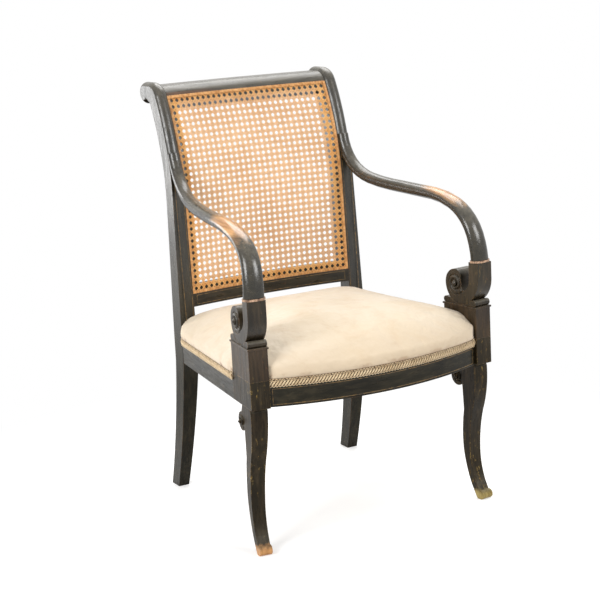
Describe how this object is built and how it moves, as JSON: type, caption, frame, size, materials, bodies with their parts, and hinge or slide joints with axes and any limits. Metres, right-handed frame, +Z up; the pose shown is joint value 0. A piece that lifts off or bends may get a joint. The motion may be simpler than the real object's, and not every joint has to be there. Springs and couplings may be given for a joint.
{
  "type": "cane-back armchair",
  "caption": "Open armchair with a caned scroll back, swept arms on rolled volutes, sabre legs and an over-stuffed cloth seat.",
  "frame": {"origin": "on the floor, under the middle of the box round the chair", "axes": "+Z up, +Y to the back, +X to the right in a front view"},
  "size_m": [0.5618, 0.6329, 0.8893],
  "materials": {
    "black_frame": "worn satin black over brown wood",
    "black_arm": "worn satin black, rubbed to orange wood on the front bend",
    "black_scroll": "worn satin black with rubbed gilt",
    "black_block": "worn satin black with rubbed gilt",
    "black_leg": "worn satin black, bare at the toe",
    "collar_paint": "rubbed orange bead",
    "inner_wood": "plain unpolished",
    "screw_steel": "dull",
    "cane": "matt split cane",
    "cane_edge": "matt split cane",
    "webbing": "woven jute",
    "hessian": "open woven",
    "stuffing": "matted fibre",
    "seat_cloth": "matt cream cloth",
    "gimp": "braided tan trim"
  },
  "bodies": {
    "root": {"rear_stile_right": "black_frame", "rear_stile_left": "black_frame", "crest_rail": "black_frame", "lower_back_rail": "black_frame", "front_rail": "black_frame", "side_rail_right": "black_frame", "side_rail_left": "black_frame", "rear_seat_rail": "inner_wood", "front_leg_right": "black_leg", "front_leg_left": "black_leg", "arm_pedestal_right": "black_block", "arm_pedestal_left": "black_block", "scroll_saddle_right": "black_scroll", "scroll_saddle_left": "black_scroll", "arm_scroll_right": "black_scroll", "arm_scroll_left": "black_scroll", "arm_collar_right": "collar_paint", "arm_collar_left": "collar_paint", "arm_right": "black_arm", "arm_left": "black_arm", "block_dowel_right": "inner_wood", "block_dowel_left": "inner_wood", "scroll_dowel_right": "inner_wood", "scroll_dowel_left": "inner_wood", "collar_dowel_right": "inner_wood", "collar_dowel_left": "inner_wood", "corner_block_front_right": "inner_wood", "corner_block_front_left": "inner_wood", "corner_block_rear_right": "inner_wood", "corner_block_rear_left": "inner_wood", "corner_block_screws": "screw_steel", "cane_panel": "cane", "cane_binding": "cane_edge", "seat_webbing_long": "webbing", "seat_webbing_cross": "webbing", "seat_hessian": "hessian", "seat_stuffing": "stuffing", "seat_cover": "seat_cloth", "gimp_front": "gimp", "gimp_side_right": "gimp", "gimp_side_left": "gimp", "gimp_rear": "gimp"}
  },
  "joints": []
}
